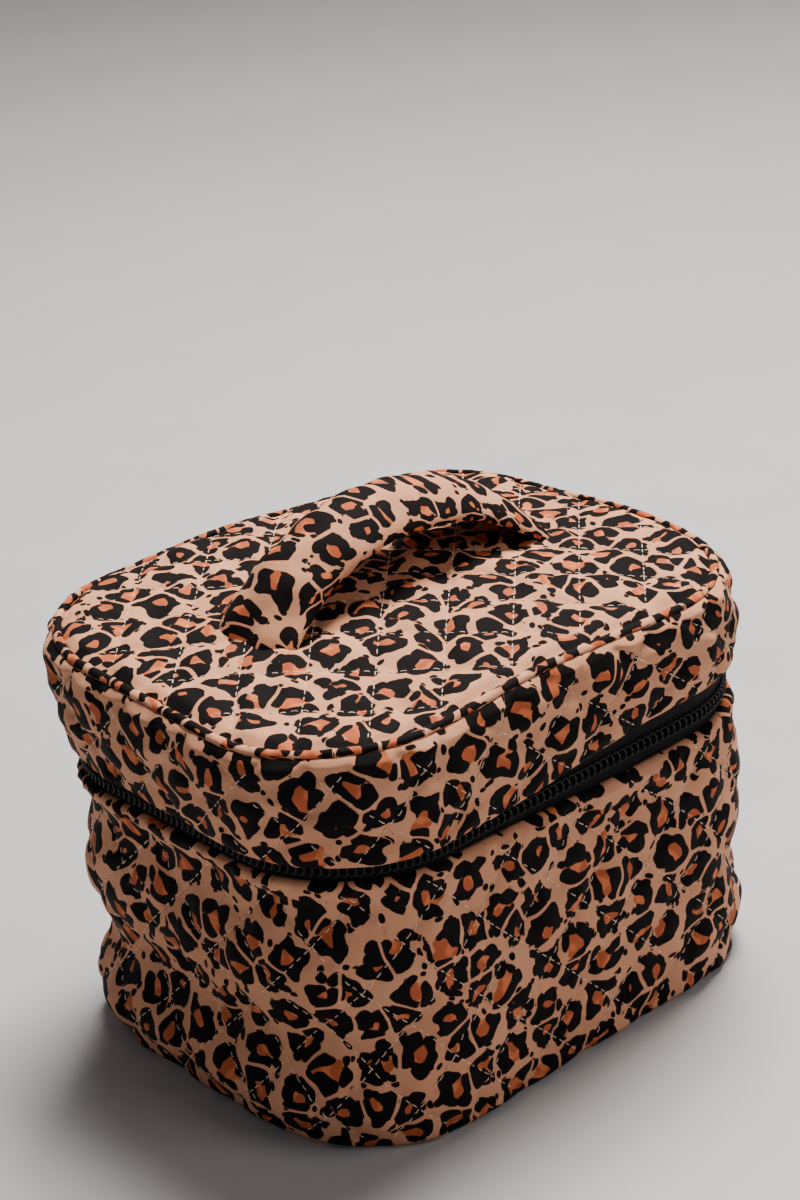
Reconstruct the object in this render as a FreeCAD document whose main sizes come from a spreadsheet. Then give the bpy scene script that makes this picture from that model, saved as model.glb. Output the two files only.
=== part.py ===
import FreeCAD, Part
import math
import os
import Sketcher

# A soft, quilted, zip-around makeup train case, in millimetres.
# Origin: centre of the underside. X runs along the long side, -Y is the front, the hinge is at +Y, Z is up.
# Every shell follows one rounded rectangle, the case outline, at its own inset from it.

SIZES = {
    # outline
    "case_length": 250.0,
    "case_width": 200.0,
    "case_corner": 60.0,
    # heights
    "body_height": 118.0,
    "lid_bottom": 130.0,
    "band_top": 174.0,
    "lid_top": 180.0,
    "zip_line": 123.0,
    # shell layers, from the outside in
    "shell": 4.0,
    "foam": 3.0,
    "lining": 1.0,
    "panel": 8.0,
    "board": 2.5,
    # zipper
    "tape": 1.0,
    "tape_sewn": 8.0,
    "coil_proud": 1.3,
    "coil_tall": 2.5,
    "coil_gap": 0.6,
    "tape_gap": 0.9,
    "hinge_span": 124.0,
    "hinge_fabric": 1.5,
    "hinge_gap": 1.0,
    "hinge_recess": 0.5,
    # sliders
    "slider_long": 11.0,
    "slider_tall": 8.8,
    "slider_plate": 1.5,
    "slider_outer": 122.7,
    "slider_inner": 119.1,
    "slider_web": 0.5,
    "slider_apart": 1.0,
    "pivot_out": 127.0,
    "bar_thick": 1.4,
    "bail_long": 7.4,
    "eye_hole": 1.4,
    "eye_outer": 2.4,
    "eye_wide": 2.2,
    "neck_drop": 4.5,
    "neck_lap": 1.0,
    "tab_wide": 7.0,
    "tab_long": 20.0,
    "tab_thick": 1.4,
    # piping
    "piping_size": 4.8,
    "piping_inset": 2.5,
    "seam_round": 2.5,
    # carry strap
    "strap_span": 132.0,
    "strap_rise": 30.0,
    "strap_wide": 40.0,
    "strap_thick": 9.0,
    "core_thick": 3.5,
    "core_wide": 28.0,
    "strap_round": 2.8,
    "patch_long": 46.0,
    "patch_thick": 1.0,
    # inside
    "divider_thick": 5.0,
    "divider_tall": 70.0,
    "divider_line": 18.0,
    "cross_left": -40.0,
    "cross_right": 40.0,
    "hook_thick": 1.2,
    "hook_wide": 24.0,
    "hook_tall": 50.0,
    "hook_low": 8.0,
    "hook_gap": 0.3,
    "wall_gap": 0.5,
    "side_clear": 1.5,
    "pocket_long": 176.0,
    "pocket_wide": 116.0,
    "pocket_binding": 9.0,
    "mesh": 0.8,
}

TOUCH = 0.01        # how close two places count as the same

doc = FreeCAD.newDocument("TrainCase")
sheet = doc.addObject("Spreadsheet::Sheet", "Dim")
for row, (alias, size) in enumerate(SIZES.items(), start=1):
    sheet.set(f"A{row}", alias)
    sheet.set(f"B{row}", str(size))
    sheet.setAlias(f"B{row}", alias)
doc.recompute()

FEATURES = []
NODES = []


def size_of(expression):
    """The number that an expression on the sheet comes to."""
    return float(NODES[-1].evalExpression(expression))


def new_body(label):
    body = doc.addObject("PartDesign::Body", label)
    body.Label = label
    NODES.append(body)
    return body


def new_sketch(body, role="XY_Plane", offset="0"):
    """A sketch on one of the body's origin planes, lifted along the plane's normal."""
    sketch = body.newObject("Sketcher::SketchObject", body.Label + "_sketch")
    plane = next(item for item in body.Origin.OriginFeatures if item.Role == role)
    sketch.AttachmentSupport = (plane, [""])
    sketch.MapMode = "FlatFace"
    sketch.setExpression("AttachmentOffset.Base.z", offset)
    FEATURES.append(sketch)
    return sketch


def bind(sketch, name, constraint, expression):
    """Adds a driving constraint and ties it to the sheet."""
    index = sketch.addConstraint(constraint)
    sketch.renameConstraint(index, name)
    sketch.setExpression("Constraints." + name, expression)


def rounded_rectangle(sketch, name, length, width, corner):
    """A rounded rectangle centred on the sketch's origin, sized by three expressions."""
    half_x = size_of(length) / 2
    half_y = size_of(width) / 2
    radius = size_of(corner)
    inner_x = half_x - radius
    inner_y = half_y - radius
    starts = [(-inner_x, -half_y), (half_x, -inner_y), (inner_x, half_y), (-half_x, inner_y)]
    ends = [(inner_x, -half_y), (half_x, inner_y), (-inner_x, half_y), (-half_x, -inner_y)]
    centres = [(inner_x, -inner_y), (inner_x, inner_y), (-inner_x, inner_y), (-inner_x, -inner_y)]
    up = FreeCAD.Vector(0, 0, 1)
    quarter = math.pi / 2
    sides = []
    bends = []
    for side in range(4):
        line = Part.LineSegment(FreeCAD.Vector(*starts[side], 0), FreeCAD.Vector(*ends[side], 0))
        sides.append(sketch.addGeometry(line))
    for side in range(4):
        circle = Part.Circle(FreeCAD.Vector(*centres[side], 0), up, radius)
        arc = Part.ArcOfCircle(circle, (side - 1) * quarter, side * quarter)
        bends.append(sketch.addGeometry(arc))
    for side in range(4):
        following = sides[(side + 1) % 4]
        sketch.addConstraint(Sketcher.Constraint("Tangent", sides[side], 2, bends[side], 1))
        sketch.addConstraint(Sketcher.Constraint("Tangent", bends[side], 2, following, 1))
    for side in (0, 2):
        sketch.addConstraint(Sketcher.Constraint("Horizontal", sides[side]))
        sketch.addConstraint(Sketcher.Constraint("Vertical", sides[side + 1]))
    for side in (1, 2, 3):
        sketch.addConstraint(Sketcher.Constraint("Equal", bends[0], bends[side]))
    sketch.addConstraint(Sketcher.Constraint("Symmetric", sides[3], 1, sides[1], 1, -1, 1))
    bind(sketch, name + "_length",
         Sketcher.Constraint("DistanceX", sides[3], 1, sides[1], 1, 2 * half_x), length)
    bind(sketch, name + "_width",
         Sketcher.Constraint("DistanceY", sides[0], 1, sides[2], 1, 2 * half_y), width)
    bind(sketch, name + "_corner", Sketcher.Constraint("Radius", bends[0], radius), corner)


def outline(sketch, name, inset):
    """The case outline, moved inwards by an expression."""
    rounded_rectangle(
        sketch, name,
        f"Dim.case_length - 2 * ({inset})",
        f"Dim.case_width - 2 * ({inset})",
        f"Dim.case_corner - ({inset})",
    )


def pad(body, sketch, length, both_ways=False):
    feature = body.newObject("PartDesign::Pad", body.Label + "_pad")
    feature.Profile = sketch
    feature.setExpression("Length", length)
    feature.Midplane = both_ways
    sketch.Visibility = False
    FEATURES.append(feature)
    doc.recompute()
    return feature


def pocket(body, sketch, depth=None):
    """Cuts the sketch through the body, or to a depth the other way, and checks that it cut something."""
    before = body.Shape.Volume
    feature = body.newObject("PartDesign::Pocket", body.Label + "_pocket")
    feature.Profile = sketch
    if depth is None:
        feature.Type = "ThroughAll"
    else:
        feature.setExpression("Length", depth)
        feature.Reversed = True
    sketch.Visibility = False
    FEATURES.append(feature)
    doc.recompute()
    if body.Shape.Volume >= before:
        raise RuntimeError(body.Label + ": the pocket cut nothing")
    return feature


def round_edges(body, feature, radius, keep):
    """Fillets the edges of a feature that a test picks out."""
    names = [f"Edge{n}" for n, edge in enumerate(feature.Shape.Edges, start=1) if keep(edge)]
    fillet = body.newObject("PartDesign::Fillet", body.Label + "_fillet")
    fillet.Base = (feature, names)
    fillet.setExpression("Radius", radius)
    FEATURES.append(fillet)
    doc.recompute()
    return fillet


def plate(label, inset, bottom, thickness):
    """A flat sheet with the case outline."""
    body = new_body(label)
    sketch = new_sketch(body, offset=bottom)
    outline(sketch, "edge", inset)
    pad(body, sketch, thickness)
    return body


def add_ring(body, inset, thickness, bottom, height):
    sketch = new_sketch(body, offset=bottom)
    outline(sketch, "outer", inset)
    outline(sketch, "inner", f"{inset} + {thickness}")
    return pad(body, sketch, height)


def ring(label, inset, thickness, bottom, height):
    """An upright wall that follows the case outline all the way round."""
    body = new_body(label)
    add_ring(body, inset, thickness, bottom, height)
    return body


def open_at_hinge(body):
    """Cuts the stretch of the hinge strip out of a ring, at the back."""
    sketch = new_sketch(body, role="XZ_Plane")
    half = size_of("Dim.hinge_span") / 2
    top = size_of("Dim.lid_top")
    corners = [(-half, 0), (half, 0), (half, top), (-half, top)]
    lines = []
    for side in range(4):
        start = FreeCAD.Vector(*corners[side], 0)
        end = FreeCAD.Vector(*corners[(side + 1) % 4], 0)
        lines.append(sketch.addGeometry(Part.LineSegment(start, end)))
    for side in range(4):
        sketch.addConstraint(Sketcher.Constraint("Coincident", lines[side], 2, lines[(side + 1) % 4], 1))
    for side in (0, 2):
        sketch.addConstraint(Sketcher.Constraint("Horizontal", lines[side]))
        sketch.addConstraint(Sketcher.Constraint("Vertical", lines[side + 1]))
    sketch.addConstraint(Sketcher.Constraint("Symmetric", lines[0], 1, lines[0], 2, -1, 1))
    bind(sketch, "span", Sketcher.Constraint("DistanceX", lines[0], 1, lines[0], 2, 2 * half),
         "Dim.hinge_span")
    bind(sketch, "top", Sketcher.Constraint("DistanceY", lines[1], 1, lines[1], 2, top), "Dim.lid_top")
    pocket(body, sketch)


def box(label, x, y, z, length, width, height, is_node=True):
    """A block given by its lowest corner and its three sides, all as expressions."""
    block = doc.addObject("Part::Box", label)
    block.Label = label
    block.setExpression("Length", length)
    block.setExpression("Width", width)
    block.setExpression("Height", height)
    block.setExpression("Placement.Base.x", x)
    block.setExpression("Placement.Base.y", y)
    block.setExpression("Placement.Base.z", z)
    FEATURES.append(block)
    if is_node:
        NODES.append(block)
    return block


def group(label, pieces):
    """Separate, identical solids that share one node."""
    compound = doc.addObject("Part::Compound", label)
    compound.Label = label
    compound.Links = pieces
    FEATURES.append(compound)
    NODES.append(compound)
    return compound


# ---------------------------------------------------------------- body of the case

INSIDE = "(Dim.shell + Dim.foam + Dim.lining)"
FLOOR = "(Dim.shell + Dim.board)"
TAPE_START = "(Dim.body_height - Dim.tape_sewn)"
LID_TAPE_END = "(Dim.lid_bottom + Dim.tape_sewn)"


def body_wall():
    body = ring("base_quilted_wall", "0", "Dim.shell", "0", "Dim.body_height")
    bottom = body.Tip
    half_length = size_of("Dim.case_length") / 2
    half_width = size_of("Dim.case_width") / 2

    def outer_bottom_edge(edge):
        point = edge.Vertexes[0].Point
        outside = abs(point.x) > half_length - TOUCH or abs(point.y) > half_width - TOUCH
        return outside and edge.BoundBox.ZMax < TOUCH

    round_edges(body, bottom, "Dim.seam_round", outer_bottom_edge)


body_wall()
plate("base_bottom_panel", "Dim.shell", "0", "Dim.shell")
plate("base_board", "Dim.shell", "Dim.shell", "Dim.board")
ring("base_wall_foam", "Dim.shell", "Dim.foam", FLOOR, f"{TAPE_START} - {FLOOR}")
ring("base_rim_binding", "Dim.shell + Dim.tape", "Dim.foam - Dim.tape", TAPE_START, "Dim.tape_sewn")
lining = plate("base_lining", "Dim.shell + Dim.foam", FLOOR, "Dim.lining")
add_ring(lining, "Dim.shell + Dim.foam", "Dim.lining", f"{FLOOR} + Dim.lining",
         f"Dim.body_height - {FLOOR} - Dim.lining")

# ---------------------------------------------------------------- zipper tapes and teeth

COIL_INSET = "Dim.shell - Dim.coil_proud"
LOWER_TAPE_TOP = "(Dim.zip_line - Dim.tape_gap)"
UPPER_TAPE_BOTTOM = "(Dim.zip_line + Dim.tape_gap)"
LOWER_COIL_TOP = "(Dim.zip_line - Dim.coil_gap)"
UPPER_COIL_BOTTOM = "(Dim.zip_line + Dim.coil_gap)"

for tape in (
    ring("zipper_tape_lower", "Dim.shell", "Dim.tape", TAPE_START, f"{LOWER_TAPE_TOP} - {TAPE_START}"),
    ring("zipper_tape_upper", "Dim.shell", "Dim.tape", UPPER_TAPE_BOTTOM,
         f"{LID_TAPE_END} - {UPPER_TAPE_BOTTOM}"),
    ring("zipper_coil_lower", COIL_INSET, "Dim.coil_proud", f"{LOWER_COIL_TOP} - Dim.coil_tall",
         "Dim.coil_tall"),
    ring("zipper_coil_upper", COIL_INSET, "Dim.coil_proud", UPPER_COIL_BOTTOM, "Dim.coil_tall"),
):
    open_at_hinge(tape)

# The hinge strip closes the gap between body and lid where the zipper stops, at the back.
box("hinge_strip", "-Dim.hinge_span / 2 + Dim.hinge_gap",
    "Dim.case_width / 2 - Dim.hinge_fabric - Dim.hinge_recess", "Dim.body_height",
    "Dim.hinge_span - 2 * Dim.hinge_gap", "Dim.hinge_fabric", "Dim.lid_bottom - Dim.body_height")

# ---------------------------------------------------------------- lid

panel = plate("lid_top_panel", "2 * Dim.piping_inset", "Dim.lid_top - Dim.panel", "Dim.panel")


def top_outer_edge(edge):
    return edge.BoundBox.ZMin > size_of("Dim.lid_top") - TOUCH


round_edges(panel, panel.Tip, "Dim.seam_round", top_outer_edge)
ring("lid_side_band", "0", "Dim.shell", "Dim.lid_bottom", "Dim.band_top - Dim.lid_bottom")


def lid_piping():
    """Covered piping: one round section swept along the top seam."""
    body = new_body("lid_piping")
    centre_height = "Dim.band_top + Dim.piping_size / 2"
    path = new_sketch(body, offset=centre_height)
    outline(path, "seam", "Dim.piping_inset")
    section = new_sketch(body, role="XZ_Plane")
    centre = FreeCAD.Vector(size_of("Dim.case_length / 2 - Dim.piping_inset"), size_of(centre_height), 0)
    radius = size_of("Dim.piping_size / 2")
    circle = section.addGeometry(Part.Circle(centre, FreeCAD.Vector(0, 0, 1), radius))
    bind(section, "out", Sketcher.Constraint("DistanceX", -1, 1, circle, 3, centre.x),
         "Dim.case_length / 2 - Dim.piping_inset")
    bind(section, "up", Sketcher.Constraint("DistanceY", -1, 1, circle, 3, centre.y), centre_height)
    bind(section, "radius", Sketcher.Constraint("Radius", circle, radius), "Dim.piping_size / 2")
    doc.recompute()
    pipe = body.newObject("PartDesign::AdditivePipe", "lid_piping_pipe")
    pipe.Profile = section
    pipe.Spine = path
    FEATURES.append(pipe)


lid_piping()

BOARD_BOTTOM = "(Dim.lid_top - Dim.panel - Dim.patch_thick - Dim.board)"
plate("lid_board", "Dim.shell + Dim.foam", BOARD_BOTTOM, "Dim.board")
ring("lid_band_foam", "Dim.shell", "Dim.foam", LID_TAPE_END, f"Dim.lid_top - Dim.panel - {LID_TAPE_END}")
ring("lid_rim_binding", "Dim.shell + Dim.tape", "Dim.foam - Dim.tape", "Dim.lid_bottom", "Dim.tape_sewn")
CEILING = f"({BOARD_BOTTOM} - Dim.lining)"
cap = plate("lid_lining", "Dim.shell + Dim.foam", CEILING, "Dim.lining")
add_ring(cap, "Dim.shell + Dim.foam", "Dim.lining", "Dim.lid_bottom", f"{CEILING} - Dim.lid_bottom")


def lid_pocket():
    """A mesh pocket under the lid's ceiling: a bound frame, with the mesh below it."""
    frame = new_body("lid_pocket_binding")
    sketch = new_sketch(frame, offset=f"{CEILING} - Dim.hook_thick")
    rounded_rectangle(sketch, "outer", "Dim.pocket_long", "Dim.pocket_wide", "Dim.pocket_binding * 2")
    rounded_rectangle(sketch, "inner", "Dim.pocket_long - 2 * Dim.pocket_binding",
                      "Dim.pocket_wide - 2 * Dim.pocket_binding", "Dim.pocket_binding")
    pad(frame, sketch, "Dim.hook_thick")
    mesh = new_body("lid_pocket_mesh")
    sketch = new_sketch(mesh, offset=f"{CEILING} - Dim.hook_thick - Dim.mesh")
    rounded_rectangle(sketch, "edge", "Dim.pocket_long - Dim.pocket_binding / 2",
                      "Dim.pocket_wide - Dim.pocket_binding / 2", "Dim.pocket_binding * 1.5")
    pad(mesh, sketch, "Dim.mesh")


lid_pocket()

# ---------------------------------------------------------------- carry strap


def arch_section(sketch, lower, upper):
    """The side view of an arched band that stands on the lid: two arcs about one centre.

    The band's middle line spans strap_span and rises strap_rise, so the centre lies below the lid.
    """
    middle = "(Dim.strap_span * Dim.strap_span / (8 * Dim.strap_rise) + Dim.strap_rise / 2)"
    centre = f"Dim.lid_top + Dim.strap_rise - {middle}"
    foot = size_of("Dim.lid_top")
    centre_height = size_of(centre)
    points = []
    arcs = []
    for name, change in (("lower", lower), ("upper", upper)):
        radius_rule = f"{middle} + ({change})"
        radius = size_of(radius_rule)
        rise = foot - centre_height
        reach = (radius * radius - rise * rise) ** 0.5
        circle = Part.Circle(FreeCAD.Vector(0, centre_height, 0), FreeCAD.Vector(0, 0, 1), radius)
        start = circle.parameter(FreeCAD.Vector(reach, foot, 0))
        end = circle.parameter(FreeCAD.Vector(-reach, foot, 0))
        arc = sketch.addGeometry(Part.ArcOfCircle(circle, start, end))
        arcs.append((arc, name, radius, radius_rule))
        points.append(reach)
    sole = []
    for side in (1, -1):
        start = FreeCAD.Vector(side * points[0], foot, 0)
        end = FreeCAD.Vector(side * points[1], foot, 0)
        sole.append(sketch.addGeometry(Part.LineSegment(start, end)))
    low, high = arcs[0][0], arcs[1][0]
    for line, tip in ((sole[0], 1), (sole[1], 2)):
        sketch.addConstraint(Sketcher.Constraint("Coincident", line, 1, low, tip))
        sketch.addConstraint(Sketcher.Constraint("Coincident", line, 2, high, tip))
        sketch.addConstraint(Sketcher.Constraint("Horizontal", line))
    sketch.addConstraint(Sketcher.Constraint("Coincident", low, 3, high, 3))
    sketch.addConstraint(Sketcher.Constraint("PointOnObject", low, 3, -2))
    bind(sketch, "centre", Sketcher.Constraint("DistanceY", -1, 1, low, 3, centre_height), centre)
    bind(sketch, "foot", Sketcher.Constraint("DistanceY", -1, 1, sole[0], 1, foot), "Dim.lid_top")
    sketch.addConstraint(Sketcher.Constraint("Symmetric", low, 1, low, 2, -2))
    for arc, name, radius, radius_rule in arcs:
        bind(sketch, name, Sketcher.Constraint("Radius", arc, radius), radius_rule)


def carry_strap():
    cover = new_body("strap_cover")
    sketch = new_sketch(cover, role="XZ_Plane")
    arch_section(sketch, "-Dim.strap_thick / 2", "Dim.strap_thick / 2")
    solid = pad(cover, sketch, "Dim.strap_wide", both_ways=True)
    inner_half = size_of("Dim.strap_wide") / 2 - TOUCH

    def long_edge(edge):
        at_side = min(abs(edge.BoundBox.YMin), abs(edge.BoundBox.YMax)) > inner_half
        return at_side and edge.BoundBox.ZLength > TOUCH

    round_edges(cover, solid, "Dim.strap_round", long_edge)
    cavity = new_sketch(cover, role="XZ_Plane", offset="-Dim.core_wide / 2")
    arch_section(cavity, "-Dim.core_thick / 2", "Dim.core_thick / 2")
    pocket(cover, cavity, depth="Dim.core_wide")
    core = new_body("strap_core")
    sketch = new_sketch(core, role="XZ_Plane")
    arch_section(sketch, "-Dim.core_thick / 2", "Dim.core_thick / 2")
    pad(core, sketch, "Dim.core_wide", both_ways=True)


carry_strap()

patches = []
for side, name in ((-1, "left"), (1, "right")):
    patches.append(box(
        "strap_patch_" + name,
        f"{side} * Dim.strap_span / 2 - Dim.patch_long / 2", "-Dim.strap_wide / 2",
        "Dim.lid_top - Dim.panel - Dim.patch_thick",
        "Dim.patch_long", "Dim.strap_wide", "Dim.patch_thick", is_node=False,
    ))
group("strap_patches", patches)

# ---------------------------------------------------------------- zipper sliders and pulls


def slider(label, side):
    """Two plates either side of the teeth, one thin web between the two rows, and a bail outside."""
    y_start = f"{side} * (Dim.slider_long + Dim.slider_apart) / 2 - Dim.slider_long / 2"
    plate_bottom = "Dim.zip_line - Dim.slider_tall / 2"
    pieces = [
        box(label + "_outer", "Dim.slider_outer", y_start, plate_bottom,
            "Dim.slider_plate", "Dim.slider_long", "Dim.slider_tall", is_node=False),
        box(label + "_inner", "Dim.slider_inner - Dim.slider_plate", y_start, plate_bottom,
            "Dim.slider_plate", "Dim.slider_long", "Dim.slider_tall", is_node=False),
        box(label + "_web", "Dim.slider_inner - Dim.slider_plate / 2", y_start,
            "Dim.zip_line - Dim.slider_web / 2",
            "Dim.slider_outer - Dim.slider_inner + Dim.slider_plate", "Dim.slider_long",
            "Dim.slider_web", is_node=False),
    ]
    bail_start = f"{side} * (Dim.slider_long + Dim.slider_apart) / 2 - Dim.bail_long / 2"
    bail_bottom = "Dim.zip_line - Dim.bar_thick / 2"
    leg_start = "Dim.slider_outer + Dim.slider_plate / 2"
    pieces.append(box(label + "_bar", "Dim.pivot_out - Dim.bar_thick / 2", bail_start, bail_bottom,
                      "Dim.bar_thick", "Dim.bail_long", "Dim.bar_thick", is_node=False))
    for end in (0, 1):
        pieces.append(box(
            f"{label}_leg_{end + 1}", leg_start,
            f"{bail_start} + {end} * (Dim.bail_long - Dim.bar_thick)", bail_bottom,
            f"Dim.pivot_out + Dim.bar_thick / 2 - ({leg_start})", "Dim.bar_thick", "Dim.bar_thick",
            is_node=False,
        ))
    fused = doc.addObject("Part::MultiFuse", label)
    fused.Label = label
    fused.Shapes = pieces
    FEATURES.append(fused)
    NODES.append(fused)


def pull(label, side):
    """An eye round the bail's bar, a neck and a flat tab that hangs in front of the wall."""
    middle = f"{side} * (Dim.slider_long + Dim.slider_apart) / 2"
    rounds = []
    for name, radius, width in (
        ("eye", "Dim.eye_outer", "Dim.eye_wide"),
        ("hole", "Dim.eye_hole", "2 * Dim.bail_long"),
    ):
        cylinder = doc.addObject("Part::Cylinder", f"{label}_{name}")
        cylinder.setExpression("Radius", radius)
        cylinder.setExpression("Height", width)
        cylinder.Placement.Rotation = FreeCAD.Rotation(FreeCAD.Vector(1, 0, 0), -90)
        cylinder.setExpression("Placement.Base.x", "Dim.pivot_out")
        cylinder.setExpression("Placement.Base.y", f"{middle} - {width} / 2")
        cylinder.setExpression("Placement.Base.z", "Dim.zip_line")
        FEATURES.append(cylinder)
        rounds.append(cylinder)
    neck = box(label + "_neck", "Dim.pivot_out - Dim.tab_thick / 2", f"{middle} - Dim.eye_wide / 2",
               "Dim.zip_line - Dim.neck_drop - Dim.neck_lap", "Dim.tab_thick", "Dim.eye_wide",
               "Dim.neck_drop + Dim.neck_lap", is_node=False)
    tab = box(label + "_tab", "Dim.pivot_out - Dim.tab_thick / 2", f"{middle} - Dim.tab_wide / 2",
              "Dim.zip_line - Dim.neck_drop - Dim.tab_long", "Dim.tab_thick", "Dim.tab_wide",
              "Dim.tab_long", is_node=False)
    whole = doc.addObject("Part::MultiFuse", label + "_whole")
    whole.Shapes = [rounds[0], neck, tab]
    FEATURES.append(whole)
    pierced = doc.addObject("Part::Cut", label)
    pierced.Label = label
    pierced.Base = whole
    pierced.Tool = rounds[1]
    FEATURES.append(pierced)
    NODES.append(pierced)


for side, name in ((-1, "front"), (1, "rear")):
    slider("zipper_slider_" + name, side)
    pull("zipper_pull_" + name, side)

# ---------------------------------------------------------------- dividers

CLEAR = f"({INSIDE} + Dim.hook_thick + Dim.side_clear)"
STAND = f"({FLOOR} + Dim.lining + Dim.wall_gap)"
TAB_SPACE = "(Dim.hook_thick + 2 * Dim.hook_gap)"      # between the long divider and a cross divider's end
box("divider_long", f"-Dim.case_length / 2 + {CLEAR}", "Dim.divider_line", STAND,
    f"Dim.case_length - 2 * {CLEAR}", "Dim.divider_thick", "Dim.divider_tall")
box("divider_cross_left", "Dim.cross_left - Dim.divider_thick / 2",
    f"-Dim.case_width / 2 + {CLEAR}", STAND, "Dim.divider_thick",
    f"Dim.case_width / 2 - {CLEAR} + Dim.divider_line - {TAB_SPACE}", "Dim.divider_tall")
box("divider_cross_right", "Dim.cross_right - Dim.divider_thick / 2",
    f"Dim.divider_line + Dim.divider_thick + {TAB_SPACE}", STAND, "Dim.divider_thick",
    f"Dim.case_width / 2 - {CLEAR} - Dim.divider_line - Dim.divider_thick - {TAB_SPACE}",
    "Dim.divider_tall")


def hook_tabs():
    """Flat hook tape tabs at both ends of each divider."""
    tabs = []
    middle = "(Dim.divider_line + Dim.divider_thick / 2)"
    wall_x = f"(Dim.case_length / 2 - {INSIDE} - Dim.wall_gap)"
    wall_y = f"(Dim.case_width / 2 - {INSIDE} - Dim.wall_gap)"
    low = f"{STAND} + Dim.hook_low"
    for name, x in (("left", f"-{wall_x}"), ("right", f"{wall_x} - Dim.hook_thick")):
        tabs.append(box("hook_tab_" + name, x, f"{middle} - Dim.hook_wide / 2", low,
                        "Dim.hook_thick", "Dim.hook_wide", "Dim.hook_tall", is_node=False))
    for name, x, y in (
        ("front", "Dim.cross_left", f"-{wall_y}"),
        ("middle_front", "Dim.cross_left", "Dim.divider_line - Dim.hook_gap - Dim.hook_thick"),
        ("middle_rear", "Dim.cross_right", "Dim.divider_line + Dim.divider_thick + Dim.hook_gap"),
        ("rear", "Dim.cross_right", f"{wall_y} - Dim.hook_thick"),
    ):
        tabs.append(box("hook_tab_" + name, f"{x} - Dim.hook_wide / 2", y, low,
                        "Dim.hook_wide", "Dim.hook_thick", "Dim.hook_tall", is_node=False))
    group("divider_hook_tabs", tabs)


hook_tabs()

# ---------------------------------------------------------------- checks and export

doc.recompute()
for item in FEATURES + NODES:
    if "Invalid" in item.State or "Error" in item.State:
        raise RuntimeError(f"{item.Label} failed: {item.State}")
os.makedirs("parts", exist_ok=True)
for node in NODES:
    if node.Shape.isNull() or not node.Shape.isValid():
        raise RuntimeError(node.Label + " has no valid shape")
    node.Shape.exportStep(f"parts/{node.Label}.step")
    solids = len(node.Shape.Solids)
    print(f"{node.Label}: {solids} solid(s), {node.Shape.Volume:.0f} cubic mm")
print(len(NODES), "nodes")
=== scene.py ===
import math

import bmesh
import bpy
import numpy as np
from mathutils import Matrix, Vector


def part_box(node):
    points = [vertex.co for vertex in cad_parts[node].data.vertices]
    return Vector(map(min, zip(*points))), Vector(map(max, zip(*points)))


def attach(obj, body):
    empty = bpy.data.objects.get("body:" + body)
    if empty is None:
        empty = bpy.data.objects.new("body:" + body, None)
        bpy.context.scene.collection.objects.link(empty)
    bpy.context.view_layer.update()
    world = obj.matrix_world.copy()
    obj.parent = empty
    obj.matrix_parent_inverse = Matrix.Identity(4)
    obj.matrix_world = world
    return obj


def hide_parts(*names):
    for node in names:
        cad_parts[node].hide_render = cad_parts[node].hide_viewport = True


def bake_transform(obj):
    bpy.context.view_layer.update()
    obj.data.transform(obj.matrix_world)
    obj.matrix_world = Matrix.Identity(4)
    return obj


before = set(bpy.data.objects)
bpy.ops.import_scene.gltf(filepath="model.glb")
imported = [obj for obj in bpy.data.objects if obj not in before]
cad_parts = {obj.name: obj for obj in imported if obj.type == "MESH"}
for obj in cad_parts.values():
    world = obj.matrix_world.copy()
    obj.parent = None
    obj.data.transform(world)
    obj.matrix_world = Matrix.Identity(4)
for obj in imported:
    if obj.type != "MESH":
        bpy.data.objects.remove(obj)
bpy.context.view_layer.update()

# A soft, quilted makeup train case with a zip-around lid. Everything is in metres, in the frame's own axes:
# X along the long side, -Y the front, the lid's hinge at +Y, Z up from the surface that the case stands on.

# -------- places read from the frame

WALL_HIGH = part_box("base_quilted_wall")[1]
BAND_LOW, BAND_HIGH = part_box("lid_side_band")
PANEL_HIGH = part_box("lid_top_panel")[1]
STRAP_LOW, STRAP_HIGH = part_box("strap_cover")
LOWER_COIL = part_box("zipper_coil_lower")
UPPER_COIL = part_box("zipper_coil_upper")
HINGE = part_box("hinge_strip")

HALF_X = WALL_HIGH[0]
HALF_Y = WALL_HIGH[1]
BODY_TOP = WALL_HIGH[2]
LID_BOTTOM = BAND_LOW[2]
BAND_TOP = BAND_HIGH[2]
LID_TOP = PANEL_HIGH[2]
ZIP_LINE = (LOWER_COIL[1][2] + UPPER_COIL[0][2]) / 2
HINGE_HALF = HINGE[1][0]

CORNER = 0.060           # plan radius of the case outline
SHELL = 0.004            # quilted fabric and its wadding
FOAM = 0.003
LINING = 0.001
NOTHING = 1e-12          # keeps divisions and comparisons safe
SHRINK = 0.00001         # how near the centre the last ring of a plate stops before it is merged

STRAIGHT_X = HALF_X - CORNER
STRAIGHT_Y = HALF_Y - CORNER
QUARTER = CORNER * math.pi / 2
PERIMETER = 4 * (STRAIGHT_X + STRAIGHT_Y) + 4 * QUARTER

DIAMONDS = 22            # quilting diamonds round the wall
DIAGONAL = PERIMETER / DIAMONDS

# The soft shape. The first five are shares of the plan size, the rest are lengths.
BASE_IN = 0.040          # the wall's foot draws in
CREASE_IN = 0.030        # the end walls fold in above the base
BASE_OUT = 0.030         # and bulge out below the fold
WAIST_IN = 0.012         # under the zipper
BAND_OUT = 0.010         # the lid band's belly
LEAN = 0.0060            # how far the left end leans in below the lid's top seam
PULL_DENT = 0.0030       # how far the wall gives way behind the hanging pulls
MOUTH_DROOP = 0.0030     # the body's front rim, right of the middle
CORNER_SAG = 0.0058      # the lid's front left corner
GAPE = 0.0056            # the lid's front rim stands open, right of the middle
TOP_TILT = 0.0050        # the lid's right end is lower
CROWN = 0.0042           # the middle of the lid


# -------- outline, quilting and the soft shape

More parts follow.
